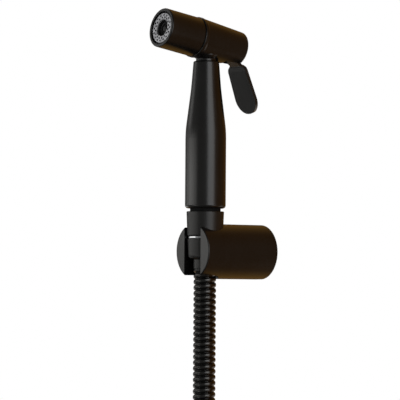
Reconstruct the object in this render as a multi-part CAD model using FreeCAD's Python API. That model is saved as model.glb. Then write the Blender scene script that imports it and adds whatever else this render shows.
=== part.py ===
import FreeCAD, Part
import math
import os

# Handheld bidet shower with its wall holder and hose. Millimetres, +Z up. The origin is the centre of
# the holder's wall face: the wall is the plane Y = 0, the holder reaches out along -Y, and the sprayer
# hangs in it with its spray face towards -Y.

V = FreeCAD.Vector

# Holder: a turned bar with a cross bore and a front slot
holder_d = 35.0
holder_length = 55.2
holder_edge = 0.7
bore_setback = 10.0
slot_gap = 1.2
seat_run = 1.4
relief_gap = 0.7
relief_floor_gap = 0.6
pocket_depth = 9.0
pocket_rim = 3.4

# Wall plate and its screws
plate_t = 4.5
plate_gap = 0.1
plate_edge = 0.4
plate_groove = 0.8
screw_spacing = 16.0
screw_hole_r = 2.3
screw_sink_r = 4.3
grub_r = 2.0
grub_socket_af = 2.0
grub_socket_depth = 2.0
grub_recess = 0.5
grub_edge = 0.2
grub_tip_r = 0.2

# Clearances, and how far a cutting shape runs past what it cuts
past = 1.0
fit_gap = 0.03
running_gap = 0.06
swivel_gap = 0.3
lever_gap = 0.3
thread_gap = 0.05

# Hose nut and swivel, on the handle's axis
nut_bottom_z = 10.0
nut_length = 15.4
nut_top_r = 11.95
nut_taper_deg = 2.1
nut_flange_t = 2.6
nut_flange_hole_r = 7.4
nut_edge = 0.5
inlet_thread_r = 10.45
neck_groove_r = 9.75
inlet_thread_relief = 0.8
inlet_thread_edge = 0.4
inlet_thread_lead = 0.6
stem_flange_t = 1.6
stem_flange_r = 10.0
hose_washer_t = 1.8
hose_washer_inset = 0.4
swivel_stem_r = 6.5
swivel_stem_bore_r = 4.2
swivel_stem_edge = 0.6
swivel_collar_r = 8.0
swivel_collar_t = 2.2
swivel_ring_r = 10.9
swivel_ring_t = 1.6
swivel_ring_edge = 0.4
cup_top_r = 11.2
cup_foot_r = 10.6
cup_height = 13.0
cup_round = 2.4
cup_edge = 0.4
cup_bore_r = 8.3
cup_floor = 3.1
swivel_tail = 5.6
swivel_o_ring_drop = 2.1

# Hose ends
insert_r = 4.35
insert_bore_r = 3.2
ferrule_r = 7.5
ferrule_lip_t = 0.9
ferrule_groove = 0.6
ferrule_length = 7.8
ferrule_lip_edge = 0.35
ferrule_edge = 0.3
ferrule_end_edge = 0.5

# Handle
handle_bottom_z = 27.3
handle_top_z = 121.2
grip_r = 12.96
grip_edge = 2.0
grip_top_z = 76.5
grip_blend = 80.0
waist_r = 9.55
waist_z = 103.5
waist_blend = 200.0
handle_top_r = 8.13
handle_shoulder = 1.2
handle_wall = 2.2
handle_bore_step = 2.0
spigot_length = 11.6
spigot_r = 5.0
spigot_bore_r = 3.4
spigot_edge = 0.6
spigot_lead = 1.5
spigot_lead_w = 1.0
nipple_thread_r = 9.3
nipple_thread_length = 11.0
nipple_bore_r = 7.0
nipple_lip_r = 5.6
nipple_lip_t = 1.6
nipple_edge = 0.5
nipple_o_ring_wire_r = 0.8
filter_t = 1.2
filter_hole_r = 0.7
filter_inner_r = 2.4
filter_inner_count = 6
filter_outer_r = 4.6
filter_outer_count = 12

# Check valve
check_valve_length = 12.0
check_seat_r = 2.6
check_bore_r = 4.4
check_seat_t = 2.0
check_seat_slope = 1.0
check_groove_depth = 1.0
check_groove_low = 2.5
check_groove_w = 3.5
check_groove_slope = 1.0
check_edge = 1.0
check_plug_low = 2.2
check_plug_tip_r = 2.4
check_plug_r = 3.9
check_plug_slope = 1.2
check_plug_t = 1.6
check_plug_top = 0.4
check_plug_stem_r = 1.0
check_bar_inset = 1.5
check_bar_w = 1.4
check_bar_t = 1.4

# Neck between handle and head
neck_foot_r = 6.55
neck_foot_length = 1.3
neck_r = 8.6
neck_cone = 2.2
neck_foot_edge = 0.5
neck_edge = 1.0

# Head, on an axis that rises towards the spray face
head_rise = 13.2
head_tilt_deg = 10.0
head_front = 36.2
head_rear = 26.0
seam_u = 9.8
seam_w = 0.4
seam_depth = 0.9
seam_edge = 0.4
sleeve_r = 12.58
sleeve_rear_edge = 0.3
sleeve_front_edge = 0.7
sleeve_mouth_edge = 0.3
bead_r = 13.1
bead_w = 2.0
bead_run = 0.8
body_front_r = 12.85
body_rear_r = 11.1
body_rear_edge = 1.4
nose_r = 10.2
nose_length = 9.6
nose_edge = 0.5
chamber_r = 7.2
chamber_rear_u = -7.0

# Lever, its cavity and its pin
cavity_front_u = -13.9
cavity_rear_u = -24.2
cavity_top_h = 3.4
notch_top_h = -7.8
pivot_u = -18.0
pivot_h = -6.0
pin_r = 1.5
pin_blind = 8.2
pin_sink = 0.4
knuckle_r = 3.1
finger_r = 1.6
lever_t = 2.0
tongue_w = 10.0
paddle_tilt_deg = 20.9
lever_bend_r = 2.0
paddle_setback = 25.3
paddle_drop = 18.5
neck_bend_setback = 24.4
neck_bend_drop = 15.4
paddle_length = 28.6
paddle_top_w = 18.2
paddle_low_w = 21.4
paddle_shoulder = 1.8
tongue_join = 4.2
paddle_shoulder_round = 3.8
paddle_round = 9.6

# Valve
valve_stem_r = 1.6
valve_disc_r = 5.2
valve_disc_t = 2.0
valve_disc_edge = 0.3
poppet_t = 2.4
poppet_gap = 0.1
poppet_edge = 0.5
seat_u = 12.0
seat_orifice_r = 3.6
seat_lip = 0.8
seat_lip_w = 0.9
seat_lip_edge = 0.3
seat_flare = 1.5
bush_t = 3.5
bush_edge = 0.4
bush_groove_depth = 1.6
bush_groove_w = 1.9
stem_o_ring_wire_r = 0.8
stem_nut_r = 3.0
stem_nut_t = 1.7
spring_wire_r = 0.4
spring_r = 3.4
spring_turns = 5.0
o_ring_gap = 0.05

# Spray head inside the front sleeve
gasket_t = 0.7
gasket_hole_r = 5.0
gasket_inset = 0.3
carrier_r = 11.2
carrier_nose_r = 10.5
carrier_shoulder = 5.2
carrier_recess = 1.9
carrier_wall = 3.0
carrier_gallery = 1.2
carrier_edge = 0.3
carrier_skirt_w = 2.2
carrier_rim_w = 1.3
carrier_hub_w = 0.7
carrier_feed_count = 8
carrier_feed_r = 0.9
sleeve_bore_gap = 0.1
sleeve_cone_run = 0.9
sleeve_cone_clear = 0.2
plate_r = 9.8
plate_hole_r = 5.3
plate_thick = 1.2
plate_bevel = 0.5
plate_rim_edge = 0.4
jet_hole_r = 0.5
outer_jets_r = 8.35
inner_jets_r = 6.75
jet_count = 16
recess_r = 5.2
recess_depth = 2.1
recess_round = 0.5
centre_jet_r = 2.2
centre_jet_tip_r = 1.2
centre_jet_out = 1.5
centre_jet_bore_r = 0.5
centre_jet_edge = 0.3

# Hose: the straight drop, the bend into the coil, the coil and the tail
hose_r = 7.0
coil_r = 73.0
coil_centre_z = -227.7
coil_strand_count = 3
coil_pitch = 15.0
coil_edge_share = 0.95
tail_length = 50.0
hose_points = (
    (0.0, -12.8),
    (0.0, -115.0),
    (-18.2, -150.6),
    (-50.5, -174.2),
)
arc_share = 0.45
tie_t = 1.3
tie_corner_share = 0.98
tie_w = 12.0
tie_gap = 0.3

# Union nut at the far end
end_ferrule_length = 13.0
end_gap = 2.0
hex_af = 24.0
hex_length = 15.0
hex_top_wall = 3.0
hex_bevel = 1.2
hex_bevel_out = 0.2
hex_bevel_share = 0.8
hex_bore_r = 9.4
hex_relief_r = 9.9
hex_relief_length = 4.6
end_stem_r = 5.2
end_stem_wall = 2.0
end_flange_r = 9.2
end_flange_t = 2.0
end_washer_t = 1.8
end_washer_r = 9.1

# Places that follow from the sizes above
holder_r = holder_d / 2
slot_w = 2 * (ferrule_r + slot_gap)
seat_low_z = nut_bottom_z - seat_run
relief_r = cup_top_r + relief_gap
axis_y = bore_setback - holder_length
nut_top_z = nut_bottom_z + nut_length
cup_top_z = nut_bottom_z - swivel_gap - swivel_ring_t
cup_bottom_z = cup_top_z - cup_height
ferrule_bottom_z = cup_bottom_z - ferrule_length
stem_flange_z = nut_bottom_z + nut_flange_t
washer_z = stem_flange_z + stem_flange_t
nipple_bottom_z = washer_z + hose_washer_t
collar_top_z = cup_top_z - swivel_gap
collar_bottom_z = collar_top_z - swivel_collar_t
sleeve_u = seam_u + seam_w
nose_u = sleeve_u + nose_length
carrier_rear_u = nose_u + gasket_t
carrier_front_u = head_front - carrier_recess
carrier_shoulder_u = head_front - carrier_shoulder
bush_rear_u = chamber_rear_u
bush_front_u = bush_rear_u + bush_t
disc_front_u = seat_u - poppet_gap - poppet_t
disc_rear_u = disc_front_u - valve_disc_t
stem_nut_front_u = pivot_u - finger_r - poppet_gap
stem_nut_rear_u = stem_nut_front_u - stem_nut_t
tail_y = axis_y + coil_pitch * (coil_strand_count - 1)
tail_end_z = coil_centre_z - tail_length
end_ferrule_z = tail_end_z - end_ferrule_length
hex_top_z = end_ferrule_z - end_gap
hex_bottom_z = hex_top_z - hex_length
head_z = handle_top_z + head_rise
plate_rim_r = holder_r - pocket_rim - plate_gap
whole_turn = 360.0
right_angle = 90.0
hex_turn = 60.0


# A rounding takes up to half the run to the next corner that is rounded too, or else nearly all of it
shared_run = 0.49
own_run = 0.98
shortest_edge = 1e-6


def outline(corners):
    """A closed wire in the XZ plane through corners (x, z) or (x, z, round)."""
    corners = [tuple(c) + (0,) * (3 - len(c)) for c in corners]
    count = len(corners)
    points = [V(c[0], 0, c[1]) for c in corners]
    starts, ends, arcs = [], [], []
    for i in range(count):
        before, here, after = points[i - 1], points[i], points[(i + 1) % count]
        to_before = (before - here).normalize()
        to_after = (after - here).normalize()
        half = to_before.getAngle(to_after) / 2
        shares = [shared_run if corners[j % count][2] else own_run for j in (i - 1, i + 1)]
        room = min((before - here).Length * shares[0], (after - here).Length * shares[1])
        cut = min(corners[i][2] / math.tan(half), room) if corners[i][2] else 0.0
        starts.append(here + to_before * cut)
        ends.append(here + to_after * cut)
        if cut:
            radius = cut * math.tan(half)
            inward = (to_before + to_after).normalize()
            middle = here + inward * (radius / math.sin(half) - radius)
            arcs.append(middle)
        else:
            arcs.append(None)
    edges = []
    for i in range(count):
        if arcs[i]:
            edges.append(Part.Arc(starts[i], arcs[i], ends[i]).toShape())
        following = starts[(i + 1) % count]
        if (following - ends[i]).Length > shortest_edge:
            edges.append(Part.LineSegment(ends[i], following).toShape())
    return Part.Wire(edges)


def turned(corners):
    """A solid of revolution about Z from corners (radius, height) or (radius, height, round)."""
    face = Part.Face(outline(corners))
    return face.revolve(V(0, 0, 0), V(0, 0, 1), whole_turn)


def rod(radius, low, high):
    return Part.makeCylinder(radius, high - low, V(0, 0, low))


def tube(outer, inner, low, high):
    return rod(outer, low, high).cut(rod(inner, low - past, high + past))


def torus(centre_r, wire_r, height):
    return Part.makeTorus(centre_r, wire_r, V(0, 0, height))


def box(low, high):
    return Part.makeBox(high[0] - low[0], high[1] - low[1], high[2] - low[2], V(*low))


def cross_rod(radius, low, high, y, z):
    """A round rod along X."""
    return Part.makeCylinder(radius, high - low, V(low, y, z), V(1, 0, 0))


def hexagon(across_flats, low, high):
    corner = across_flats / 2 / math.cos(math.radians(hex_turn / 2))
    turns = [math.radians(hex_turn * (i + 0.5)) for i in range(7)]
    wire = Part.makePolygon([V(corner * math.cos(a), corner * math.sin(a), low) for a in turns])
    return Part.Face(wire).extrude(V(0, 0, high - low))


def on_handle(shape):
    """Moves a piece from the Z axis to the handle's axis."""
    shape.translate(V(0, axis_y, 0))
    return shape


def in_head(shape):
    """Moves a piece from the head's own frame, where Z runs to the spray face and Y up, to its place."""
    shape.rotate(V(0, 0, 0), V(1, 0, 0), right_angle - head_tilt_deg)
    shape.translate(V(0, axis_y, head_z))
    return shape


def head_point(u, n):
    """The place of a point u ahead along the head's axis and n above it, as (y, z)."""
    tilt = math.radians(head_tilt_deg)
    y = axis_y - u * math.cos(tilt) + n * math.sin(tilt)
    z = head_z + u * math.sin(tilt) + n * math.cos(tilt)
    return y, z


def nut_r(height):
    return nut_top_r - (nut_top_z - height) * math.tan(math.radians(nut_taper_deg))


def holder_body():
    bar = turned(
        (
            (0, 0),
            (holder_r, 0, holder_edge),
            (holder_r, holder_length, holder_edge),
            (0, holder_length),
        )
    )
    bar.rotate(V(0, 0, 0), V(1, 0, 0), right_angle)
    top = holder_r + past
    seat = turned(
        (
            (0, seat_low_z),
            (nut_r(seat_low_z) + running_gap, seat_low_z),
            (nut_r(top) + running_gap, top),
            (0, top),
        )
    )
    relief = rod(relief_r, cup_bottom_z - relief_floor_gap, seat_low_z)
    throat = rod(slot_w / 2, -top, seat_low_z)
    slot = box((-slot_w / 2, -holder_length - past, -top), (slot_w / 2, axis_y, top))
    pocket_r = holder_r - pocket_rim
    pocket = Part.makeCylinder(pocket_r, pocket_depth, V(0, -pocket_depth, 0), V(0, 1, 0))
    grub_hole = Part.makeCylinder(grub_r, top, V(0, -plate_t / 2, 0), V(0, 0, -1))
    return bar.cut([on_handle(seat), on_handle(relief), on_handle(throat), slot, pocket, grub_hole])


def wall_plate():
    rim = plate_rim_r
    middle = plate_t / 2
    disc = turned(
        (
            (0, 0),
            (rim, 0),
            (rim, middle - plate_groove),
            (rim - plate_groove, middle),
            (rim, middle + plate_groove),
            (rim, plate_t, plate_edge),
            (0, plate_t),
        )
    )
    for side in (-1, 1):
        hole = turned(
            (
                (0, -past),
                (screw_hole_r, -past),
                (screw_hole_r, plate_t - (screw_sink_r - screw_hole_r)),
                (screw_sink_r, plate_t),
                (screw_sink_r, plate_t + past),
                (0, plate_t + past),
            )
        )
        hole.translate(V(side * screw_spacing / 2, 0, 0))
        disc = disc.cut(hole)
    disc.rotate(V(0, 0, 0), V(1, 0, 0), right_angle)
    return disc


def grub_screw():
    low = grub_recess - holder_r
    groove_bottom = plate_groove - plate_rim_r
    body = turned(
        (
            (0, low),
            (grub_r, low, grub_edge),
            (grub_r, groove_bottom - grub_r),
            (grub_tip_r, groove_bottom - grub_tip_r),
            (0, groove_bottom - grub_tip_r),
        )
    )
    socket = hexagon(grub_socket_af, low - past, low + grub_socket_depth)
    screw = body.cut(socket)
    screw.translate(V(0, -plate_t / 2, 0))
    return screw


def hose_nut():
    shell = turned(
        (
            (0, nut_bottom_z),
            (nut_r(nut_bottom_z), nut_bottom_z, nut_edge),
            (nut_top_r, nut_top_z, nut_edge),
            (0, nut_top_z),
        )
    )
    thread = rod(inlet_thread_r + thread_gap, stem_flange_z, nut_top_z + past)
    hole = rod(nut_flange_hole_r, nut_bottom_z - past, nut_top_z)
    return on_handle(shell.cut([thread, hole]))


def swivel_stem():
    tail_z = collar_bottom_z - swivel_tail
    body = turned(
        (
            (swivel_stem_bore_r, tail_z),
            (swivel_stem_r, tail_z, swivel_stem_edge),
            (swivel_stem_r, collar_bottom_z),
            (swivel_collar_r, collar_bottom_z),
            (swivel_collar_r, collar_top_z),
            (swivel_stem_r, collar_top_z),
            (swivel_stem_r, stem_flange_z),
            (stem_flange_r, stem_flange_z),
            (stem_flange_r, washer_z),
            (swivel_stem_bore_r, washer_z),
        )
    )
    return on_handle(body)


def swivel_ring():
    low = cup_top_z
    high = cup_top_z + swivel_ring_t
    inner = swivel_stem_r + running_gap
    body = turned(
        (
            (inner, low),
            (swivel_ring_r, low, swivel_ring_edge),
            (swivel_ring_r, high, swivel_ring_edge),
            (inner, high),
        )
    )
    return on_handle(body)


def swivel_cup():
    floor_z = cup_bottom_z + cup_floor
    shell = turned(
        (
            (insert_r, cup_bottom_z),
            (cup_foot_r, cup_bottom_z, cup_round),
            (cup_top_r, cup_top_z, cup_edge),
            (cup_bore_r, cup_top_z),
            (cup_bore_r, floor_z),
            (insert_r, floor_z),
        )
    )
    return on_handle(shell)


def swivel_o_ring():
    wire = (cup_bore_r - swivel_stem_r) / 2 - o_ring_gap
    middle = (cup_bore_r + swivel_stem_r) / 2
    return on_handle(torus(middle, wire, collar_bottom_z - swivel_o_ring_drop))


def hose_washer():
    return on_handle(tube(stem_flange_r - hose_washer_inset, nipple_lip_r, washer_z, nipple_bottom_z))


def hose_insert():
    return on_handle(tube(insert_r, insert_bore_r, ferrule_bottom_z, cup_bottom_z + cup_floor))


def ferrule(hose_end, far_end):
    """A crimped sleeve with a grooved lip at its hose end."""
    toward = 1 if far_end > hose_end else -1
    lip = hose_end + toward * ferrule_lip_t
    body = lip + toward * ferrule_groove
    corners = (
        (insert_r, hose_end),
        (ferrule_r, hose_end, ferrule_lip_edge),
        (ferrule_r, lip, ferrule_lip_edge),
        (ferrule_r - ferrule_groove, lip),
        (ferrule_r - ferrule_groove, body),
        (ferrule_r, body, ferrule_edge),
        (ferrule_r, far_end, ferrule_end_edge),
        (insert_r, far_end),
    )
    return turned(corners)


def top_ferrule():
    return on_handle(ferrule(ferrule_bottom_z, cup_bottom_z))


def inlet_nipple():
    top_z = handle_bottom_z + nipple_thread_length
    thread_top_z = nut_top_z - inlet_thread_relief
    body = turned(
        (
            (nipple_lip_r, nipple_bottom_z),
            (inlet_thread_r, nipple_bottom_z, inlet_thread_lead),
            (inlet_thread_r, thread_top_z, inlet_thread_edge),
            (neck_groove_r, thread_top_z + inlet_thread_edge),
            (neck_groove_r, handle_bottom_z),
            (nipple_thread_r - fit_gap, handle_bottom_z),
            (nipple_thread_r - fit_gap, top_z, nipple_edge),
            (nipple_bore_r, top_z),
            (nipple_bore_r, nipple_bottom_z + nipple_lip_t),
            (nipple_lip_r, nipple_bottom_z + nipple_lip_t),
        )
    )
    return on_handle(body)


def filter_disc():
    low = nipple_bottom_z + nipple_lip_t
    disc = rod(nipple_bore_r - thread_gap, low, low + filter_t)
    inner_ring = (filter_inner_r, filter_inner_count)
    outer_ring = (filter_outer_r, filter_outer_count)
    for ring_r, holes in ((0, 1), inner_ring, outer_ring):
        for i in range(holes):
            a = 2 * math.pi * i / holes
            hole = rod(filter_hole_r, low - past, low + filter_t + past)
            hole.translate(V(ring_r * math.cos(a), ring_r * math.sin(a), 0))
            disc = disc.cut(hole)
    return on_handle(disc)


def check_valve():
    low = nipple_bottom_z + nipple_lip_t + filter_t
    high = low + check_valve_length
    outer = nipple_bore_r - thread_gap
    groove_r = outer - check_groove_depth
    groove_low = low + check_groove_low
    groove_high = groove_low + check_groove_w
    seat = low + check_seat_t
    plug_low = low + check_plug_low
    plug_wide = plug_low + check_plug_slope
    plug_high = plug_wide + check_plug_t
    body = turned(
        (
            (check_seat_r, low),
            (outer, low),
            (outer, groove_low),
            (groove_r, groove_low + check_groove_slope),
            (groove_r, groove_high),
            (outer, groove_high + check_groove_slope),
            (outer, high - check_edge),
            (outer - check_edge, high),
            (check_bore_r, high),
            (check_bore_r, seat + check_seat_slope),
            (check_seat_r, seat),
        )
    )
    plug = turned(
        (
            (0, plug_low),
            (check_plug_tip_r, plug_low),
            (check_plug_r, plug_wide),
            (check_plug_r, plug_high),
            (check_plug_stem_r, plug_high + check_plug_top),
            (check_plug_stem_r, high),
            (0, high),
        )
    )
    bar_x = outer - check_bar_inset
    bar_y = check_bar_w / 2
    bar = box((-bar_x, -bar_y, high - check_bar_t), (bar_x, bar_y, high))
    return on_handle(body.fuse([plug, bar]))


def nipple_o_ring():
    wire = nipple_o_ring_wire_r - o_ring_gap / 2
    height = handle_bottom_z + nipple_thread_length + nipple_o_ring_wire_r
    return on_handle(torus(nipple_thread_r - nipple_o_ring_wire_r, wire, height))


def handle_tube():
    bore_z = handle_bottom_z + nipple_thread_length + handle_bore_step
    spigot_z = handle_top_z - spigot_length
    grip_bore_r = grip_r - handle_wall
    body = turned(
        (
            (nipple_thread_r, handle_bottom_z),
            (grip_r, handle_bottom_z, grip_edge),
            (grip_r, grip_top_z, grip_blend),
            (waist_r, waist_z, waist_blend),
            (handle_top_r, handle_top_z, handle_shoulder),
            (spigot_r, handle_top_z),
            (spigot_r, spigot_z),
            (spigot_r + spigot_lead_w, spigot_z - spigot_lead),
            (waist_r - handle_wall, waist_z),
            (grip_bore_r, grip_top_z),
            (grip_bore_r, bore_z + handle_bore_step),
            (nipple_thread_r, bore_z),
        )
    )
    return on_handle(body)


def lever_cavity():
    """The space under the rear of the head in which the lever swings, in the head's own frame."""
    half = tongue_w / 2 + lever_gap
    below = -body_front_r - past
    room = box((-half, below, cavity_rear_u), (half, cavity_top_h, cavity_front_u))
    notch = box((-half, below, -head_rear - past), (half, notch_top_h, cavity_rear_u + past))
    return room.fuse(notch)


def valve_body():
    head = turned(
        (
            (0, -head_rear),
            (body_rear_r, -head_rear, body_rear_edge),
            (body_front_r, seam_u - bead_w - bead_run),
            (bead_r, seam_u - bead_w),
            (bead_r, seam_u, seam_edge),
            (bead_r - seam_depth, seam_u),
            (bead_r - seam_depth, sleeve_u),
            (nose_r, sleeve_u),
            (nose_r, nose_u, nose_edge),
            (0, nose_u),
        )
    )
    foot_top_z = handle_top_z + neck_foot_length
    spigot_low_z = handle_top_z - spigot_length
    spigot_out_r = spigot_r - fit_gap
    neck = turned(
        (
            (0, spigot_low_z),
            (spigot_out_r, spigot_low_z, spigot_edge),
            (spigot_out_r, handle_top_z),
            (neck_foot_r, handle_top_z),
            (neck_foot_r, foot_top_z, neck_foot_edge),
            (neck_r, foot_top_z + neck_cone, neck_edge),
            (neck_r, head_z),
            (0, head_z),
        )
    )
    chamber = rod(chamber_r, chamber_rear_u, nose_u + past)
    stem_hole = rod(valve_stem_r + running_gap, cavity_front_u - past, chamber_rear_u + past)
    pin_hole = cross_rod(pin_r, -body_front_r - past, pin_blind, pivot_h, pivot_u)
    passage = rod(spigot_bore_r, spigot_low_z - past, head_z)
    body = in_head(head).fuse(on_handle(neck))
    cuts = [in_head(cut) for cut in (chamber, stem_hole, lever_cavity(), pin_hole)]
    cuts.append(on_handle(passage))
    return body.cut(cuts).removeSplitter()


def pivot_pin():
    half_chord = math.sqrt(body_at(pivot_u) ** 2 - (abs(pivot_h) + pin_r) ** 2)
    return in_head(cross_rod(pin_r, pin_sink - half_chord, pin_blind, pivot_h, pivot_u))


def body_at(u):
    """The rear body's radius at u."""
    front_u = seam_u - bead_w - bead_run
    share = (u + head_rear) / (front_u + head_rear)
    return body_rear_r + (body_front_r - body_rear_r) * share


def stem_bush():
    o_ring_room = valve_stem_r + bush_groove_depth
    body = turned(
        (
            (valve_stem_r + running_gap, bush_rear_u + bush_groove_w),
            (o_ring_room, bush_rear_u + bush_groove_w),
            (o_ring_room, bush_rear_u),
            (chamber_r - fit_gap, bush_rear_u),
            (chamber_r - fit_gap, bush_front_u, bush_edge),
            (valve_stem_r + running_gap, bush_front_u),
        )
    )
    return in_head(body)


def stem_o_ring():
    wire = stem_o_ring_wire_r - o_ring_gap
    middle = valve_stem_r + stem_o_ring_wire_r
    return in_head(torus(middle, wire, bush_rear_u + stem_o_ring_wire_r + o_ring_gap))


def valve_stem():
    stem = rod(valve_stem_r, stem_nut_rear_u, disc_front_u)
    disc = turned(
        (
            (0, disc_rear_u),
            (valve_disc_r, disc_rear_u, valve_disc_edge),
            (valve_disc_r, disc_front_u),
            (0, disc_front_u),
        )
    )
    return in_head(stem.fuse(disc).removeSplitter())


def stem_nut():
    body = tube(stem_nut_r, valve_stem_r, stem_nut_rear_u, stem_nut_front_u)
    return in_head(body)


def poppet_seal():
    high = seat_u - poppet_gap
    body = turned(
        (
            (0, disc_front_u),
            (valve_disc_r, disc_front_u),
            (valve_disc_r, high, poppet_edge),
            (0, high),
        )
    )
    return in_head(body)


def valve_seat():
    lip_r = seat_orifice_r + seat_lip_w
    body = turned(
        (
            (seat_orifice_r, seat_u),
            (lip_r, seat_u, seat_lip_edge),
            (lip_r, seat_u + seat_lip),
            (chamber_r - fit_gap, seat_u + seat_lip),
            (chamber_r - fit_gap, nose_u),
            (seat_orifice_r + seat_flare, nose_u),
            (seat_orifice_r, nose_u - seat_flare),
        )
    )
    return in_head(body)


def valve_spring():
    low = bush_front_u + spring_wire_r + o_ring_gap
    high = disc_rear_u - spring_wire_r - o_ring_gap
    helix = Part.makeHelix((high - low) / spring_turns, high - low, spring_r)
    section = Part.Wire(Part.makeCircle(spring_wire_r, V(spring_r, 0, 0), V(0, 1, 0)))
    spring = Part.Wire(helix).makePipeShell([section], True, True)
    spring.translate(V(0, 0, low))
    return in_head(spring)


def nose_gasket():
    return in_head(tube(nose_r - gasket_inset, gasket_hole_r, nose_u, carrier_rear_u))


def front_sleeve():
    bore = carrier_r + sleeve_bore_gap
    body = turned(
        (
            (nose_r + fit_gap, sleeve_u),
            (sleeve_r, sleeve_u, sleeve_rear_edge),
            (sleeve_r, head_front, sleeve_front_edge),
            (carrier_nose_r + sleeve_bore_gap, head_front, sleeve_mouth_edge),
            (carrier_nose_r + sleeve_bore_gap, carrier_shoulder_u),
            (bore, carrier_shoulder_u),
            (bore, nose_u + sleeve_cone_clear),
            (nose_r + fit_gap, nose_u - sleeve_cone_run),
        )
    )
    return in_head(body)


def nozzle_carrier():
    wall_u = carrier_front_u - carrier_wall
    gallery_u = carrier_front_u - carrier_gallery
    cup_r = carrier_r - carrier_skirt_w
    rim_r = carrier_nose_r - carrier_rim_w
    hub_r = recess_r + carrier_hub_w
    recess_u = carrier_front_u - recess_depth
    body = turned(
        (
            (0, wall_u),
            (cup_r, wall_u),
            (cup_r, carrier_rear_u),
            (carrier_r, carrier_rear_u),
            (carrier_r, carrier_shoulder_u),
            (carrier_nose_r, carrier_shoulder_u),
            (carrier_nose_r, carrier_front_u, carrier_edge),
            (rim_r, carrier_front_u),
            (rim_r, gallery_u),
            (hub_r, gallery_u),
            (hub_r, carrier_front_u),
            (recess_r, carrier_front_u),
            (recess_r, recess_u, recess_round),
            (0, recess_u),
        )
    )
    cuts = [rod(centre_jet_tip_r, wall_u - past, carrier_front_u)]
    feed_ring = (rim_r + hub_r) / 2
    for i in range(carrier_feed_count):
        a = 2 * math.pi * i / carrier_feed_count
        feed = rod(carrier_feed_r, wall_u - past, carrier_front_u)
        feed.translate(V(feed_ring * math.cos(a), feed_ring * math.sin(a), 0))
        cuts.append(feed)
    return in_head(body.cut(cuts))


def spray_plate():
    front = carrier_front_u + plate_thick
    disc = turned(
        (
            (plate_hole_r, carrier_front_u),
            (plate_r, carrier_front_u),
            (plate_r, front, plate_rim_edge),
            (plate_hole_r + plate_bevel, front),
            (plate_hole_r, front - plate_bevel),
        )
    )
    holes = []
    for ring_r, offset in ((outer_jets_r, 0), (inner_jets_r, 0.5)):
        for i in range(jet_count):
            a = 2 * math.pi * (i + offset) / jet_count
            hole = rod(jet_hole_r, carrier_front_u - past, front + past)
            hole.translate(V(ring_r * math.cos(a), ring_r * math.sin(a), 0))
            holes.append(hole)
    return in_head(disc.cut(holes))


def centre_jet():
    floor_u = carrier_front_u - recess_depth
    wall_u = carrier_front_u - carrier_wall
    body = turned(
        (
            (centre_jet_bore_r, wall_u),
            (centre_jet_tip_r, wall_u),
            (centre_jet_tip_r, floor_u),
            (centre_jet_r, floor_u),
            (centre_jet_r, floor_u + centre_jet_out / 2, centre_jet_edge),
            (centre_jet_tip_r, floor_u + centre_jet_out, centre_jet_edge),
            (centre_jet_bore_r, floor_u + centre_jet_out),
        )
    )
    return in_head(body)


def strip(points, thickness, bend_r):
    """A closed wire round a bent strip of even thickness, from middle-line points (y, z)."""
    sides = ([], [])
    for i, (y, z) in enumerate(points):
        here = V(y, 0, z)
        runs = [V(b[0] - a[0], 0, b[1] - a[1]).normalize() for a, b in zip(points, points[1:])]
        back, on = runs[max(i - 1, 0)], runs[min(i, len(runs) - 1)]
        across = V(0, 1, 0).cross(back + on).normalize()
        reach = thickness / 2 / math.cos(back.getAngle(on) / 2)
        turn_side = 1 if V(0, 1, 0).cross(back).dot(on) > 0 else -1
        for side in (0, 1):
            sign = 1 - 2 * side
            inner = sign == turn_side
            at = here + across * (reach * sign)
            is_end = i in (0, len(points) - 1)
            radius = 0.0 if is_end else bend_r + (0.0 if inner else thickness)
            sides[side].append((at.x, at.z, radius))
    return outline(sides[0] + sides[1][::-1])


def across_x(wire, half):
    """Stands an XZ wire in the YZ plane and thickens it to both sides along X."""
    face = Part.Face(wire)
    face.rotate(V(0, 0, 0), V(0, 0, 1), right_angle)
    face.translate(V(-half, 0, 0))
    return face.extrude(V(2 * half, 0, 0))


def trigger_lever():
    half = tongue_w / 2
    top_half = paddle_top_w / 2
    low_half = paddle_low_w / 2
    tilt = math.radians(paddle_tilt_deg)
    pivot = head_point(pivot_u, pivot_h)
    finger_tip = head_point(pivot_u, 0)
    bend = (axis_y + paddle_setback, head_z - paddle_drop)
    upper_bend = (axis_y + neck_bend_setback, head_z - neck_bend_drop)
    foot_y = bend[0] + paddle_length * math.sin(tilt)
    foot_z = bend[1] - paddle_length * math.cos(tilt)
    middle_line = ((foot_y, foot_z), bend, upper_bend, pivot)
    sheet = across_x(strip(middle_line, lever_t, lever_bend_r), low_half + past)
    front = outline(
        (
            (-half, handle_top_z),
            (-half, tongue_join),
            (-top_half, paddle_shoulder, paddle_shoulder_round),
            (-low_half, -paddle_length, paddle_round),
            (low_half, -paddle_length, paddle_round),
            (top_half, paddle_shoulder, paddle_shoulder_round),
            (half, tongue_join),
            (half, handle_top_z),
        )
    )
    cutter = Part.Face(front).extrude(V(0, handle_top_z, 0))
    cutter.translate(V(0, -handle_top_z / 2, 0))
    cutter.rotate(V(0, 0, 0), V(1, 0, 0), paddle_tilt_deg)
    cutter.translate(V(0, bend[0], bend[1]))
    sheet = sheet.common(cutter)
    knuckle = cross_rod(knuckle_r, -half, half, *pivot)
    nose = cross_rod(finger_r, -half, half, *finger_tip)
    finger = across_x(strip((pivot, finger_tip), 2 * finger_r, 0), half)
    stem_slot = valve_stem_r + lever_gap
    low_u = pivot_u - body_front_r
    high_u = pivot_u + body_front_r
    slot = in_head(box((-stem_slot, -stem_slot, low_u), (stem_slot, body_front_r, high_u)))
    pin_hole = cross_rod(pin_r + running_gap, -half - past, half + past, *pivot)
    return sheet.fuse([knuckle, nose, finger]).cut([slot, pin_hole]).removeSplitter()


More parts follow.
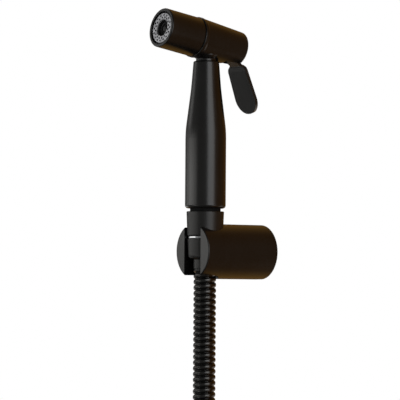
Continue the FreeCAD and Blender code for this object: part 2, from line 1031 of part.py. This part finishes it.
def hose_path(points, share):
    """Straight runs joined by tangent arcs, each as large as its two runs allow. Also prints the radii."""
    edges, radii = [], []
    start = points[0]
    for before, here, after in zip(points, points[1:], points[2:]):
        back, on = before - here, after - here
        half = back.getAngle(on) / 2
        cut = share * min(back.Length, on.Length)
        back.normalize()
        on.normalize()
        radius = cut * math.tan(half)
        inward = (back + on).normalize()
        middle = here + inward * (radius / math.sin(half) - radius)
        edges.append(Part.LineSegment(start, here + back * cut).toShape())
        edges.append(Part.Arc(here + back * cut, middle, here + on * cut).toShape())
        start = here + on * cut
        radii.append(round(radius, 1))
    edges.append(Part.LineSegment(start, points[-1]).toShape())
    print("arc radii", radii)
    return Part.Wire(edges)


def hose_drop():
    points = [V(x, axis_y, z) for x, z in hose_points]
    path = hose_path(points, arc_share)
    section = Part.Wire(Part.makeCircle(hose_r, points[0], V(0, 0, -1)))
    solid = path.makePipeShell([section], True, False)
    expected = math.pi * hose_r**2 * path.Length
    print("drop length", round(path.Length, 1), "volume share", round(solid.Volume / expected, 4))
    return solid


def hose_coil():
    """The outer shape of the tied coil: a ring as wide as its strands lie side by side."""
    low_y = axis_y - hose_r
    high_y = tail_y + hose_r
    edge = hose_r * coil_edge_share
    ring = turned(
        (
            (coil_r - hose_r, low_y, edge),
            (coil_r + hose_r, low_y, edge),
            (coil_r + hose_r, high_y, edge),
            (coil_r - hose_r, high_y, edge),
        )
    )
    ring.rotate(V(0, 0, 0), V(1, 0, 0), -right_angle)
    ring.translate(V(0, 0, coil_centre_z))
    return ring


def hose_tail():
    tail = rod(hose_r, tail_end_z, coil_centre_z)
    return at_tail(tail)


def at_tail(shape):
    """Moves a piece from the Z axis to the axis of the hose's hanging end."""
    shape.translate(V(-coil_r, tail_y, 0))
    return shape


def coil_tie():
    def band(out):
        reach_x = hose_r + tie_gap + out
        reach_y = (tail_y - axis_y) / 2 + reach_x
        low_z = coil_centre_z - tie_w / 2
        block = box((-reach_x, -reach_y, low_z), (reach_x, reach_y, low_z + tie_w))
        corners = [e for e in block.Edges if e.BoundBox.ZLength > tie_w / 2]
        return block.makeFillet(reach_x * tie_corner_share, corners)

    tie = band(tie_t).cut(band(0))
    tie.translate(V(-coil_r, (axis_y + tail_y) / 2, 0))
    return tie


def end_ferrule():
    return at_tail(ferrule(tail_end_z, end_ferrule_z))


def end_stem():
    hole = end_stem_r - end_stem_wall
    flange_top = hex_top_z - hex_top_wall - swivel_gap
    body = turned(
        (
            (hole, flange_top - end_flange_t),
            (end_flange_r, flange_top - end_flange_t),
            (end_flange_r, flange_top),
            (end_stem_r, flange_top),
            (end_stem_r, end_ferrule_z),
            (insert_r, end_ferrule_z),
            (insert_r, tail_end_z),
            (hole, tail_end_z),
        )
    )
    return at_tail(body)


def hex_nut():
    block = hexagon(hex_af, hex_bottom_z, hex_top_z)
    corner = hex_af / 2 / math.cos(math.radians(hex_turn / 2))
    bevel_rise = hex_bevel * hex_bevel_share
    bevels = turned(
        (
            (0, hex_bottom_z),
            (corner - hex_bevel, hex_bottom_z),
            (corner + hex_bevel_out, hex_bottom_z + bevel_rise),
            (corner + hex_bevel_out, hex_top_z - bevel_rise),
            (corner - hex_bevel, hex_top_z),
            (0, hex_top_z),
        )
    )
    relief_top = hex_top_z - hex_top_wall
    relief_low = relief_top - hex_relief_length
    cuts = [
        rod(end_stem_r + running_gap, relief_top - past, hex_top_z + past),
        rod(hex_relief_r, relief_low, relief_top),
        rod(hex_bore_r, hex_bottom_z - past, relief_low + past),
    ]
    return at_tail(block.common(bevels).cut(cuts))


def end_washer():
    high = hex_top_z - hex_top_wall - swivel_gap - end_flange_t
    return at_tail(tube(end_washer_r, end_stem_r, high - end_washer_t, high))


pieces = (
    holder_body,
    wall_plate,
    grub_screw,
    swivel_ring,
    swivel_cup,
    hose_insert,
    top_ferrule,
    hose_drop,
    hose_coil,
    hose_tail,
    coil_tie,
    end_ferrule,
    end_stem,
    hex_nut,
    end_washer,
    hose_nut,
    swivel_stem,
    swivel_o_ring,
    hose_washer,
    inlet_nipple,
    nipple_o_ring,
    filter_disc,
    check_valve,
    handle_tube,
    valve_body,
    pivot_pin,
    stem_bush,
    stem_o_ring,
    valve_spring,
    valve_seat,
    nose_gasket,
    front_sleeve,
    nozzle_carrier,
    spray_plate,
    centre_jet,
    trigger_lever,
    valve_stem,
    stem_nut,
    poppet_seal,
)

os.makedirs("parts", exist_ok=True)
for piece in pieces:
    shape = piece()
    if not shape.isValid() or shape.Volume <= 0 or len(shape.Solids) != 1:
        print("check", piece.__name__, shape.ShapeType, shape.isValid(), shape.Volume, len(shape.Solids))
    solid = shape.Solids[0] if len(shape.Solids) == 1 else shape
    solid.exportStep("parts/" + piece.__name__ + ".step")
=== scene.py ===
import math

import bmesh
import bpy
from mathutils import Matrix, Vector


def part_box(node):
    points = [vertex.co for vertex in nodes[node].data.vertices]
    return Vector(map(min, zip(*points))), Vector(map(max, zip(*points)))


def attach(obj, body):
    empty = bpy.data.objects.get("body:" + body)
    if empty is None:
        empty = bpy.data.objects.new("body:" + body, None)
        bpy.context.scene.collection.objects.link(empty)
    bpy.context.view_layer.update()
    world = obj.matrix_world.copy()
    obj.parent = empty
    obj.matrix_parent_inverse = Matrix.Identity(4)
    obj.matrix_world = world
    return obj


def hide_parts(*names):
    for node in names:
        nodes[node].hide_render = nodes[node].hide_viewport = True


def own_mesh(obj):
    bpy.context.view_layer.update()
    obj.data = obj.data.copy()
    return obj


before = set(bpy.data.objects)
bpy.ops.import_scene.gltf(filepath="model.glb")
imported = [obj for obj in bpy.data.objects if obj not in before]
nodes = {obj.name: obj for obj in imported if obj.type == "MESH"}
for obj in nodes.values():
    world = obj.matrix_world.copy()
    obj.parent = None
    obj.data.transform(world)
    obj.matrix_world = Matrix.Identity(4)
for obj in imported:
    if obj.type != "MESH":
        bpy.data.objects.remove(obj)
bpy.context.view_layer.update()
mm = 0.001

# Places that the solids give
handle_low, handle_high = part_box("handle_tube")
axis_y = (handle_low.y + handle_high.y) / 2
hose_top_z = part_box("top_ferrule")[0].z
coil_low, coil_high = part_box("hose_coil")
tail_low, tail_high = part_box("hose_tail")
hose_r = (tail_high.x - tail_low.x) / 2
coil_centre_z = (coil_low.z + coil_high.z) / 2
coil_r = (coil_high.x - coil_low.x) / 2 - hose_r
tail_x = (tail_low.x + tail_high.x) / 2
tail_y = (tail_low.y + tail_high.y) / 2
plate_low, plate_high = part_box("spray_plate")

# The spray head points to the front and a little up
head_tilt = math.radians(10)
head_forward = Vector((0, -math.cos(head_tilt), math.sin(head_tilt)))
head_up = Vector((0, math.sin(head_tilt), math.cos(head_tilt)))


# Camera: fitted to the photograph, from the front right, looking slightly up
camera_turn = math.radians(53.54)
camera_rise = math.radians(1.75)
camera_roll = math.radians(0.39)
camera_distance = 2.0
camera_shift_right = -3.415 * mm
camera_shift_up = 32.67 * mm
camera_clip_end = 20
focal_px = 3144.65
frame_px = 400
sensor_mm = 36.0


def camera_axes():
    """Level, forward, right and up unit vectors of the photograph's camera."""
    forward = Vector(
        (
            -math.sin(camera_turn) * math.cos(camera_rise),
            math.cos(camera_turn) * math.cos(camera_rise),
            math.sin(camera_rise),
        )
    )
    level = Vector((math.cos(camera_turn), math.sin(camera_turn), 0))
    rise = level.cross(forward)
    right = level * math.cos(camera_roll) + rise * math.sin(camera_roll)
    up = rise * math.cos(camera_roll) - level * math.sin(camera_roll)
    return level, forward, right, up


def make_camera():
    level, forward, right, up = camera_axes()
    data = bpy.data.cameras.new("camera")
    data.sensor_width = sensor_mm
    data.lens = sensor_mm * focal_px / frame_px
    data.clip_end = camera_clip_end
    camera = bpy.data.objects.new("camera", data)
    bpy.context.scene.collection.objects.link(camera)
    place = Vector((0, axis_y, 0)) - forward * camera_distance
    place += level * camera_shift_right + Vector((0, 0, camera_shift_up))
    camera.matrix_world = Matrix(
        (
            (right.x, up.x, -forward.x, place.x),
            (right.y, up.y, -forward.y, place.y),
            (right.z, up.z, -forward.z, place.z),
            (0, 0, 0, 1),
        )
    )
    bpy.context.scene.camera = camera


make_camera()


# Hose route, in metres: straight down out of the ferrule, round to the left onto the coil, twice
# round it towards the wall, and out of it straight down to the union nut
drop_points = (  # (x, z)
    (0.0, hose_top_z),
    (0.0, -0.075),
    (0.0, -0.115),
    (-0.0182, -0.1506),
)
coil_entry_deg = 54.0
coil_turns = 2
coil_steps = 34
coil_run_out = 14.7 * mm
route_order = 3
route_resolution = 24


def hose_route():
    """Control points of the hose's middle line, from the ferrule to the union nut."""
    route = [Vector((x, axis_y, z)) for x, z in drop_points]
    sweep = coil_entry_deg + 360 * coil_turns
    step = sweep / coil_steps
    reach = coil_r / math.cos(math.radians(step / 2))
    flatten = tail_x / coil_r
    for i in range(coil_steps):
        turned = step * (i + 0.5)
        angle = math.radians(coil_entry_deg - turned)
        x = flatten * reach * math.cos(angle)
        y = axis_y + (tail_y - axis_y) * turned / sweep
        route.append(Vector((x, y, coil_centre_z + reach * math.sin(angle))))
    route.append(Vector((tail_x, tail_y, coil_centre_z - coil_run_out)))
    route.append(Vector((tail_x, tail_y, tail_low.z)))
    return route


def smooth_line(points, name):
    """Points along the NURBS spline that a route's control points make."""
    data = bpy.data.curves.new(name, "CURVE")
    data.dimensions = "3D"
    data.resolution_u = route_resolution
    spline = data.splines.new("NURBS")
    spline.points.add(len(points) - 1)
    for point, place in zip(spline.points, points):
        point.co = (*place, 1)
    spline.order_u = route_order
    spline.use_endpoint_u = True
    curve = bpy.data.objects.new(name, data)
    bpy.context.scene.collection.objects.link(curve)
    bpy.context.view_layer.update()
    mesh = bpy.data.meshes.new_from_object(curve)
    line = [v.co.copy() for v in mesh.vertices]
    bpy.data.meshes.remove(mesh)
    bpy.data.objects.remove(curve)
    return line


class Line:
    """A polyline that is read by length, with side directions that don't twist."""

    def __init__(self, points):
        self.points = points
        self.at = [0.0]
        for a, b in zip(points, points[1:]):
            self.at.append(self.at[-1] + (b - a).length)
        self.length = self.at[-1]
        self.sides = []
        side = Vector((1, 0, 0))
        for i in range(len(points)):
            along = self.direction(i)
            side = (side - along * side.dot(along)).normalized()
            self.sides.append(side.copy())
        self.last = 0

    def direction(self, i):
        a = self.points[max(i - 1, 0)]
        b = self.points[min(i + 1, len(self.points) - 1)]
        return (b - a).normalized()

    def section(self, s):
        """Place, side and other side at length s. The search starts where the last one ended."""
        s = min(max(s, 0.0), self.length)
        i = self.last
        while i > 0 and self.at[i] > s:
            i -= 1
        while i < len(self.at) - 2 and self.at[i + 1] < s:
            i += 1
        self.last = i
        t = (s - self.at[i]) / (self.at[i + 1] - self.at[i])
        place = self.points[i].lerp(self.points[i + 1], t)
        side = self.sides[i].lerp(self.sides[i + 1], t).normalized()
        along = self.direction(i).lerp(self.direction(i + 1), t).normalized()
        return place, side, along.cross(side).normalized()


def new_mesh(name, vertices, faces, smooth=True):
    data = bpy.data.meshes.new(name)
    data.from_pydata([tuple(v) for v in vertices], [], faces)
    data.validate()
    data.polygons.foreach_set("use_smooth", [smooth] * len(data.polygons))
    piece = bpy.data.objects.new(name, data)
    bpy.context.scene.collection.objects.link(piece)
    return piece


# One rib of the hose: (share of the pitch, height above the seam as a share of the depth)
rib_profile = (
    (0.0, 0.0),
    (0.05, 0.42),
    (0.14, 0.72),
    (0.28, 0.92),
    (0.43, 1.0),
    (0.58, 0.98),
    (0.73, 0.87),
    (0.86, 0.63),
    (0.95, 0.28),
)
rib_pitch = 3.66 * mm
rib_depth = 1.3 * mm
rib_proud = 0.2 * mm
hose_sides = 28
weld_gap = 0.002 * mm


def hose_mesh(line):
    """A tube with one rib wound round it as a helix, from end to end of the line."""
    wrap = len(rib_profile)
    turns = math.ceil(line.length / rib_pitch) + 1
    rows = turns * wrap
    vertices, faces = [], []
    for row in range(rows):
        turn, part = divmod(row, wrap)
        share, height = rib_profile[part]
        for k in range(hose_sides):
            s = (turn - 1 + share + k / hose_sides) * rib_pitch
            place, side, other = line.section(s)
            angle = 2 * math.pi * k / hose_sides
            radius = hose_r + rib_proud - rib_depth * (1 - height)
            vertices.append(place + (side * math.cos(angle) + other * math.sin(angle)) * radius)
    for row in range(rows - 1):
        for k in range(hose_sides):
            a = row * hose_sides + k
            b = a + 1 if k + 1 < hose_sides else (row + wrap) * hose_sides
            c = b + hose_sides
            if c < rows * hose_sides:
                faces.append((a, b, c, a + hose_sides))
    piece = new_mesh("hose", vertices, faces)
    welded = bmesh.new()
    welded.from_mesh(piece.data)
    bmesh.ops.remove_doubles(welded, verts=welded.verts, dist=weld_gap)
    bmesh.ops.recalc_face_normals(welded, faces=welded.faces)
    welded.to_mesh(piece.data)
    welded.free()
    return piece


hose_line = Line(smooth_line(hose_route(), "hose_route"))
hose = hose_mesh(hose_line)
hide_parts("hose_drop", "hose_coil", "hose_tail")
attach(hose, "holder_and_hose")


# Materials


class Nodes:
    """A short way to write a material's or the world's node tree."""

    def __init__(self, tree):
        self.tree = tree

    def add(self, kind, **settings):
        node = self.tree.nodes.new(kind)
        for key, value in settings.items():
            setattr(node, key, value)
        return node

    def feed(self, socket, value):
        if isinstance(value, bpy.types.NodeSocket):
            self.tree.links.new(value, socket)
        else:
            socket.default_value = value

    def feed_all(self, node, *values):
        for socket, value in zip(node.inputs, values):
            self.feed(socket, value)

    def maths(self, operation, *values):
        node = self.add("ShaderNodeMath", operation=operation)
        self.feed_all(node, *values)
        return node.outputs[0]

    def distance(self, x, y):
        """Square root of x squared plus y squared."""
        squares = (self.maths("MULTIPLY", value, value) for value in (x, y))
        return self.maths("SQRT", self.maths("ADD", *squares))

    def vector(self, operation, a, b, output="Vector"):
        node = self.add("ShaderNodeVectorMath", operation=operation)
        self.feed_all(node, a, b)
        return node.outputs[output]

    def noise(self, vector, scale, detail, roughness):
        node = self.add("ShaderNodeTexNoise")
        self.feed(node.inputs["Vector"], vector)
        node.inputs["Scale"].default_value = scale
        node.inputs["Detail"].default_value = detail
        node.inputs["Roughness"].default_value = roughness
        return node.outputs[0]

    def spread(self, value, low, high, to_low, to_high, smooth=False):
        node = self.add("ShaderNodeMapRange")
        if smooth:
            node.interpolation_type = "SMOOTHSTEP"
        self.feed_all(node, value, low, high, to_low, to_high)
        return node.outputs[0]

    def mix(self, share, a, b):
        node = self.add("ShaderNodeMix", data_type="RGBA")
        self.feed(node.inputs[0], share)
        self.feed(node.inputs[6], a)
        self.feed(node.inputs[7], b)
        return node.outputs[2]

    def mix_shaders(self, share, a, b):
        node = self.add("ShaderNodeMixShader")
        self.feed_all(node, share, a, b)
        return node.outputs[0]

    def place(self):
        return self.add("ShaderNodeTexCoord").outputs["Object"]

    def stretch(self, vector, scale):
        node = self.add("ShaderNodeMapping")
        self.feed(node.inputs["Vector"], vector)
        node.inputs["Scale"].default_value = scale
        return node.outputs[0]

    def bump(self, height, distance, strength):
        node = self.add("ShaderNodeBump")
        node.inputs["Strength"].default_value = strength
        node.inputs["Distance"].default_value = distance
        self.feed(node.inputs["Height"], height)
        return node.outputs[0]


def material(name, **fixed):
    """A new material, its node tree, and its shader with these fixed settings."""
    made = bpy.data.materials.new(name)
    made.use_nodes = True
    shader = made.node_tree.nodes["Principled BSDF"]
    for key, value in fixed.items():
        shader.inputs[key.replace("_", " ")].default_value = value
    return made, Nodes(made.node_tree), shader


def shaded(tone, share):
    """The tone times share, as a colour."""
    return (*[c * share for c in tone], 1)


# The noise of each finish's grain
grain_detail = 3.0
grain_roughness = 0.6

# Black lacquer: slow clouds in its tone, and long marks that dull its shine
cloud_scale = 38.0
cloud_roughness = 0.55
cloud_low, cloud_high = 0.3, 0.7
cloud_contrast = 0.25
mark_scale = 260.0
mark_stretch = (1.0, 1.0, 0.12)
mark_detail = 4.0
mark_roughness = 0.65
mark_low, mark_high = 0.55, 0.8
mark_dulls = 0.05
lacquer_bump = 0.5


def lacquer(name, tone, roughness, grit, relief, cloudiness=0.05, shine=0.5):
    """Black satin coating: fine grit in the shine, slow cloudiness, and faint handling marks."""
    made, tree, shader = material(name, Specular_IOR_Level=shine)
    here = tree.place()
    fine = tree.noise(here, grit, grain_detail, grain_roughness)
    cloud = tree.noise(here, cloud_scale, grain_detail, cloud_roughness)
    marks = tree.noise(tree.stretch(here, mark_stretch), mark_scale, mark_detail, mark_roughness)
    cloud = tree.spread(cloud, cloud_low, cloud_high, 0.0, 1.0)
    tones = shaded(tone, 1 - cloud_contrast), shaded(tone, 1 + cloud_contrast)
    tree.feed(shader.inputs["Base Color"], tree.mix(cloud, *tones))
    rough = tree.maths("MULTIPLY_ADD", fine, cloudiness, roughness - cloudiness / 2)
    rough = tree.maths("ADD", rough, tree.spread(marks, mark_low, mark_high, 0.0, mark_dulls))
    tree.feed(shader.inputs["Roughness"], rough)
    tree.feed(shader.inputs["Normal"], tree.bump(fine, relief * mm, lacquer_bump))
    return made


# Plain finishes: how much the grain changes tone and roughness
plain_contrast = 0.08
plain_cloudiness = 0.1
plain_bump = 0.6


def plain(name, tone, roughness, metallic=0.0, grit=600.0, relief=0.004):
    """One tone with grain in its colour, roughness and surface."""
    made, tree, shader = material(name, Metallic=metallic)
    fine = tree.noise(tree.place(), grit, grain_detail, grain_roughness)
    tones = shaded(tone, 1 - plain_contrast), shaded(tone, 1 + plain_contrast)
    rough = tree.maths("MULTIPLY_ADD", fine, plain_cloudiness, roughness - plain_cloudiness / 2)
    tree.feed(shader.inputs["Base Color"], tree.mix(fine, *tones))
    tree.feed(shader.inputs["Roughness"], rough)
    tree.feed(shader.inputs["Normal"], tree.bump(fine, relief * mm, plain_bump))
    return made


# Spray plate: its rings of jets as (radius, turn in jet spacings), and its polished middle edge
jet_rings = ((8.35 * mm, 0.0), (6.75 * mm, 0.5))
jets_in_ring = 16
jet_shade_r = 0.56 * mm
jet_shade_fade = 1.45
plate_edge_r = 5.85 * mm
plate_edge_fade = 0.1 * mm
haze_scale = 420.0
haze_detail = 4.0
haze_roughness = 0.7
haze_low, haze_high = 0.35, 0.65
haze_dulls = 0.2
haze_relief = 0.01 * mm
haze_bump = 0.5
plate_roughness = 0.22
clear_steel = (0.26, 0.265, 0.285, 1)
hazy_steel = (0.66, 0.665, 0.7, 1)
edge_steel = (0.6, 0.6, 0.62, 1)
jet_dark = (0.02, 0.02, 0.022, 1)


def jet_steel():
    """Satin steel with a dark ring round each jet, limescale haze, and a polished inner edge."""
    made, tree, shader = material("spray_steel", Metallic=1.0)
    here = tree.place()
    shifted = tree.vector("SUBTRACT", here, (plate_low + plate_high) / 2)
    x = tree.vector("DOT_PRODUCT", shifted, (1, 0, 0), "Value")
    y = tree.vector("DOT_PRODUCT", shifted, head_up, "Value")
    radius = tree.distance(x, y)
    turn = tree.maths("MULTIPLY", tree.maths("ARCTAN2", y, x), jets_in_ring / (2 * math.pi))
    shade = 0.0
    for ring_r, offset in jet_rings:
        spacing = 2 * math.pi * ring_r / jets_in_ring
        part = tree.maths("FRACT", tree.maths("ADD", turn, 0.5 - offset + jets_in_ring))
        aside = tree.maths("MULTIPLY", tree.maths("SUBTRACT", part, 0.5), spacing)
        gap = tree.distance(aside, tree.maths("SUBTRACT", radius, ring_r))
        near = tree.spread(gap, jet_shade_r, jet_shade_r * jet_shade_fade, 1.0, 0.0, smooth=True)
        shade = tree.maths("MAXIMUM", shade, near)
    haze = tree.noise(here, haze_scale, haze_detail, haze_roughness)
    satin = tree.mix(tree.spread(haze, haze_low, haze_high, 0.0, 1.0), clear_steel, hazy_steel)
    polished = tree.spread(radius, plate_edge_r, plate_edge_r + plate_edge_fade, 1.0, 0.0)
    face = tree.mix(polished, satin, edge_steel)
    rough = tree.maths("MULTIPLY_ADD", haze, haze_dulls, plate_roughness)
    tree.feed(shader.inputs["Base Color"], tree.mix(shade, face, jet_dark))
    tree.feed(shader.inputs["Roughness"], rough)
    tree.feed(shader.inputs["Normal"], tree.bump(haze, haze_relief, haze_bump))
    return made


satin_black = lacquer("satin_black", (0.004, 0.0036, 0.0033), 0.28, 3500.0, 0.0015)
lever_black = lacquer("lever_black", (0.0055, 0.005, 0.0045), 0.33, 3500.0, 0.003)
matt_black = lacquer("matt_black", (0.005, 0.0045, 0.004), 0.38, 2500.0, 0.003, cloudiness=0.08)
# painted shade: a darker, duller black on the thread parts stands in for the shade in the narrow
# grooves where they show
groove_shade_black = lacquer("groove_shade_black", (0.003, 0.003, 0.003), 0.75, 2500.0, 0.003, shine=0.2)
spray_steel = jet_steel()
hose_black = plain("hose_black", (0.062, 0.061, 0.059), 0.27, metallic=1.0, grit=1200.0)
bright = plain("bright_chrome", (0.56, 0.57, 0.59), 0.08, metallic=1.0, relief=0.0008)
steel = plain("steel", (0.58, 0.57, 0.55), 0.3, metallic=1.0)
brass = plain("brass", (0.72, 0.53, 0.25), 0.3, metallic=1.0)
rubber = plain("rubber", (0.012, 0.012, 0.012), 0.6)
white_plastic = plain("white_plastic", (0.75, 0.75, 0.72), 0.35)
dark_plastic = plain("dark_plastic", (0.007, 0.007, 0.0075), 0.4)

finishes = {
    satin_black: ("handle_tube", "valve_body", "front_sleeve", "holder_body"),
    lever_black: ("trigger_lever",),
    matt_black: ("hose_nut", "swivel_cup", "top_ferrule", "end_ferrule", "hex_nut"),
    groove_shade_black: ("inlet_nipple", "swivel_stem"),
    bright: ("swivel_ring",),
    spray_steel: ("spray_plate",),
    steel: ("wall_plate", "grub_screw", "pivot_pin", "valve_spring", "valve_stem", "stem_nut"),
    brass: ("hose_insert", "end_stem", "stem_bush", "valve_seat"),
    rubber: (
        "swivel_o_ring",
        "end_washer",
        "hose_washer",
        "nipple_o_ring",
        "stem_o_ring",
        "nose_gasket",
        "poppet_seal",
        "coil_tie",
    ),
    white_plastic: ("filter_disc", "check_valve"),
    dark_plastic: ("nozzle_carrier", "centre_jet"),
}

for made, names in finishes.items():
    for name in names:
        for slot in nodes[name].material_slots:
            slot.material = made
hose.data.materials.append(hose_black)


def make_spring():
    """The valve spring shortens as the stem moves back. A copy of its mesh stands for the solid on
    the sprayer; nothing here makes it shorten.
    """
    solid = nodes["valve_spring"]
    spring = bpy.data.objects.new("spring_wire", solid.data.copy())
    bpy.context.scene.collection.objects.link(spring)
    spring.matrix_world = solid.matrix_world
    places = (spring.matrix_world @ v.co for v in spring.data.vertices)
    reach = sorted(places, key=head_forward.dot)
    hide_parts("valve_spring")
    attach(spring, "sprayer")
    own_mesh(spring)


make_spring()


# The edges of the lever's sheet are broken, as pressed metal is
edge = nodes["trigger_lever"].modifiers.new("broken_edge", "BEVEL")
edge.width = 0.25 * mm
edge.segments = 2
edge.limit_method = "ANGLE"
edge.angle_limit = math.radians(40)


# A pale floor some way below the hose, which fades into the white background round the object
floor_z = -0.36
floor_half = 5.0
floor_fade_starts = 0.35
floor_fade_ends = 1.2
floor_grit = 40.0
floor_tones = ((0.8, 0.8, 0.79, 1), (0.84, 0.84, 0.83, 1))


def pale_floor():
    """Pale matt floor that turns white further out and doesn't show from below."""
    made, tree, shader = material("pale_floor", Roughness=0.6, Specular_IOR_Level=0.0)
    here = tree.place()
    grain = tree.noise(here, floor_grit, grain_detail, grain_roughness)
    tree.feed(shader.inputs["Base Color"], tree.mix(grain, *floor_tones))
    away = tree.vector("DISTANCE", here, (0, axis_y, floor_z), "Value")
    faded = tree.spread(away, floor_fade_starts, floor_fade_ends, 0.0, 1.0, smooth=True)
    white = tree.add("ShaderNodeEmission").outputs[0]
    below = tree.add("ShaderNodeNewGeometry").outputs["Backfacing"]
    clear = tree.add("ShaderNodeBsdfTransparent").outputs[0]
    top = tree.mix_shaders(faded, shader.outputs[0], white)
    output = made.node_tree.nodes["Material Output"]
    tree.feed(output.inputs["Surface"], tree.mix_shaders(below, top, clear))
    return made


def make_floor():
    """Reflections don't see it, so that the room's glow shows in them from below too."""
    signs = ((-1, -1), (1, -1), (1, 1), (-1, 1))
    corners = [(x * floor_half, axis_y + y * floor_half, floor_z) for x, y in signs]
    ground = new_mesh("floor", corners, [(0, 1, 2, 3)], smooth=False)
    ground.data.materials.append(pale_floor())
    ground.visible_glossy = False


make_floor()


# Light: soft boxes and a dim warm room, placed by the angle to the right of the photograph's camera


def seen_from_camera(right_deg, up_deg):
    """Unit vector that lies that far round to the right of the camera, and above it."""
    level, forward, _, _ = camera_axes()
    towards = Vector((-forward.x, -forward.y, 0)).normalized()
    turn = math.radians(right_deg)
    rise = math.radians(up_deg)
    flat = towards * math.cos(turn) + level * math.sin(turn)
    return flat * math.cos(rise) + Vector((0, 0, 1)) * math.sin(rise)


def soft_box(name, centre_z, right_deg, up_deg, distance, wide_deg, tall_deg, radiance, tint):
    """A rectangular lamp that faces the object and shows that wide and tall in its surfaces.
    It makes reflections only: the even light on the floor comes from the world."""
    data = bpy.data.lights.new(name, "AREA")
    data.shape = "RECTANGLE"
    data.size = 2 * distance * math.tan(math.radians(wide_deg / 2))
    data.size_y = 2 * distance * math.tan(math.radians(tall_deg / 2))
    data.energy = radiance * math.pi * data.size * data.size_y
    data.color = tint
    lamp = bpy.data.objects.new(name, data)
    bpy.context.scene.collection.objects.link(lamp)
    toward = seen_from_camera(right_deg, up_deg)
    lamp.location = Vector((0, axis_y, centre_z)) + toward * distance
    lamp.rotation_euler = toward.to_track_quat("Z", "Y").to_euler()
    lamp.visible_camera = False
    lamp.visible_diffuse = False


# (name, height it aims at, right of the camera, up, distance, wide, tall, radiance, tint)
soft_boxes = (
    ("left_low_box", 0.0, -99, 1, 1.6, 60, 8, 1.25, (1.0, 0.99, 0.96)),
    ("left_high_box", 0.056, -77, 0, 0.3, 52, 11, 1.5, (1.0, 0.99, 0.96)),
    ("left_far_box", 0.135, -112, 12, 1.6, 28, 9, 1.1, (1.0, 0.99, 0.97)),
    ("rear_box", 0.02, 126, -27, 0.6, 44, 24, 0.9, (1.0, 0.98, 0.95)),
    ("right_box", 0.06, 31, 12, 1.6, 38, 40, 2.3, (0.96, 0.98, 1.0)),
)
for settings in soft_boxes:
    soft_box(*settings)


# The room as reflections see it, by direction, each over the ones before it:
# (right of the camera, up, cosine where it starts, cosine where it is full, colour).
# The last four are panels that give the black pieces a shine in views from other sides.
room_front = (0.19, 0.19, 0.185, 1)
panel_white = (1.8, 1.8, 1.75, 1)
room_lobes = (
    (0, 80, 0.3, 0.95, (0.06, 0.06, 0.06, 1)),
    (0, -80, 0.3, 0.95, (0.06, 0.06, 0.06, 1)),
    (105, 0, 0.05, 0.7, (0.21, 0.09, 0.015, 1)),
    (172, 38, 0.72, 0.97, (0.36, 0.18, 0.04, 1)),
    (172, -38, 0.72, 0.97, (0.4, 0.21, 0.05, 1)),
    (180, 0, 0.88, 0.98, (0.07, 0.045, 0.03, 1)),
    (-60, -19, 0.978, 0.996, panel_white),
    (48, -19, 0.978, 0.996, panel_white),
    (215, -19, 0.978, 0.996, panel_white),
    (215, 48, 0.97, 0.99, panel_white),
)
white_for_matt = 0.85


def make_world():
    """Reflections see the room, the camera sees plain white, and matt surfaces nearly white."""
    world = bpy.data.worlds.new("studio")
    bpy.context.scene.world = world
    world.use_nodes = True
    tree = Nodes(world.node_tree)
    background = world.node_tree.nodes["Background"]
    output = world.node_tree.nodes["World Output"]
    towards = tree.add("ShaderNodeTexCoord").outputs["Generated"]
    glow = room_front
    for right_deg, up_deg, start, full, colour in room_lobes:
        direction = seen_from_camera(right_deg, up_deg)
        near = tree.vector("DOT_PRODUCT", towards, direction, "Value")
        glow = tree.mix(tree.spread(near, start, full, 0.0, 1.0, smooth=True), glow, colour)
    tree.feed(background.inputs["Color"], glow)
    white = tree.add("ShaderNodeBackground")
    white.inputs["Color"].default_value = (1, 1, 1, 1)
    path = tree.add("ShaderNodeLightPath").outputs
    matt_share = tree.maths("MULTIPLY", path["Is Diffuse Ray"], white_for_matt)
    plain_white = tree.maths("MAXIMUM", path["Is Camera Ray"], matt_share)
    seen = tree.mix_shaders(plain_white, background.outputs[0], white.outputs[0])
    tree.feed(output.inputs["Surface"], seen)


make_world()
bpy.context.scene.view_settings.view_transform = "Standard"
